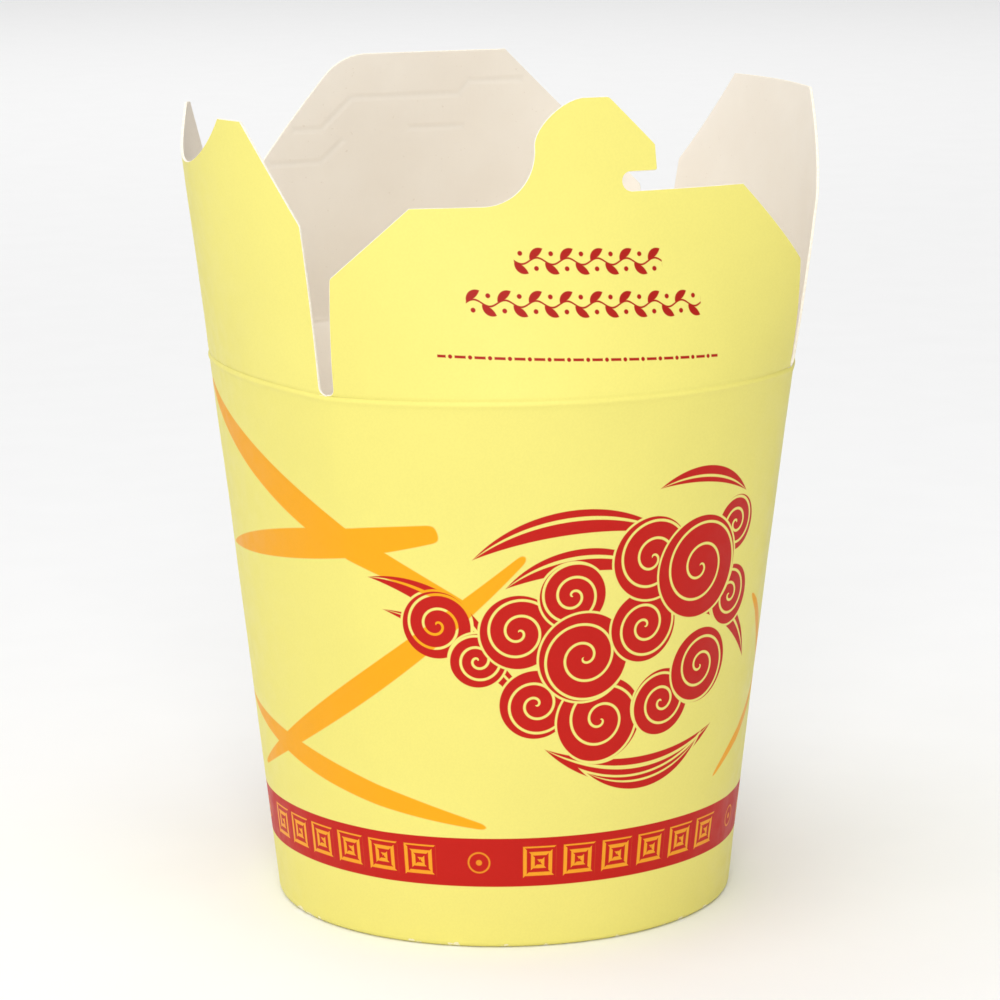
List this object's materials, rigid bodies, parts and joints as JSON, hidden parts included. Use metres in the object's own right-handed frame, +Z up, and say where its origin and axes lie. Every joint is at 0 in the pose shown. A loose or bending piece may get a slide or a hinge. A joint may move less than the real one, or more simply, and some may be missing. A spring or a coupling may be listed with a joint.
{
  "type": "noodle takeaway box",
  "caption": "Open round-footed paperboard takeaway box for noodles, with four bowed flaps, a hooked front tongue, a thumb notch and a recessed base.",
  "frame": {"origin": "centre of the foot circle, on the surface that the box stands on", "axes": "+Z up, the front flap with the hooked tongue faces -Y, the flap with the thumb notch faces -X"},
  "size_m": [0.1144, 0.1142, 0.1548],
  "materials": {
    "board_yellow": "coated board printed yellow outside with orange, red and dark red ornament, plain cream board inside",
    "board_cream": "uncoated cream board with a thin grease-resistant film"
  },
  "bodies": {
    "body": {"wall": "board_yellow", "base": "board_cream"},
    "front_flap": {"flap_front": "board_yellow"},
    "right_flap": {"flap_right": "board_yellow"},
    "back_flap": {"flap_back": "board_yellow"},
    "left_flap": {"flap_left": "board_yellow"}
  },
  "joints": [
    {"name": "front_fold", "type": "hinge", "parent": "body", "child": "front_flap", "pos_m": [0, -0.0372, 0.102], "axis": [-1, 0, 0], "range_deg": [0, 78]},
    {"name": "right_fold", "type": "hinge", "parent": "body", "child": "right_flap", "pos_m": [0.0436, 0, 0.102], "axis": [0, -1, 0], "range_deg": [0, 114]},
    {"name": "back_fold", "type": "hinge", "parent": "body", "child": "back_flap", "pos_m": [0, 0.0372, 0.102], "axis": [1, 0, 0], "range_deg": [0, 84]},
    {"name": "left_fold", "type": "hinge", "parent": "body", "child": "left_flap", "pos_m": [-0.0436, 0, 0.102], "axis": [0, 1, 0], "range_deg": [0, 106]}
  ]
}
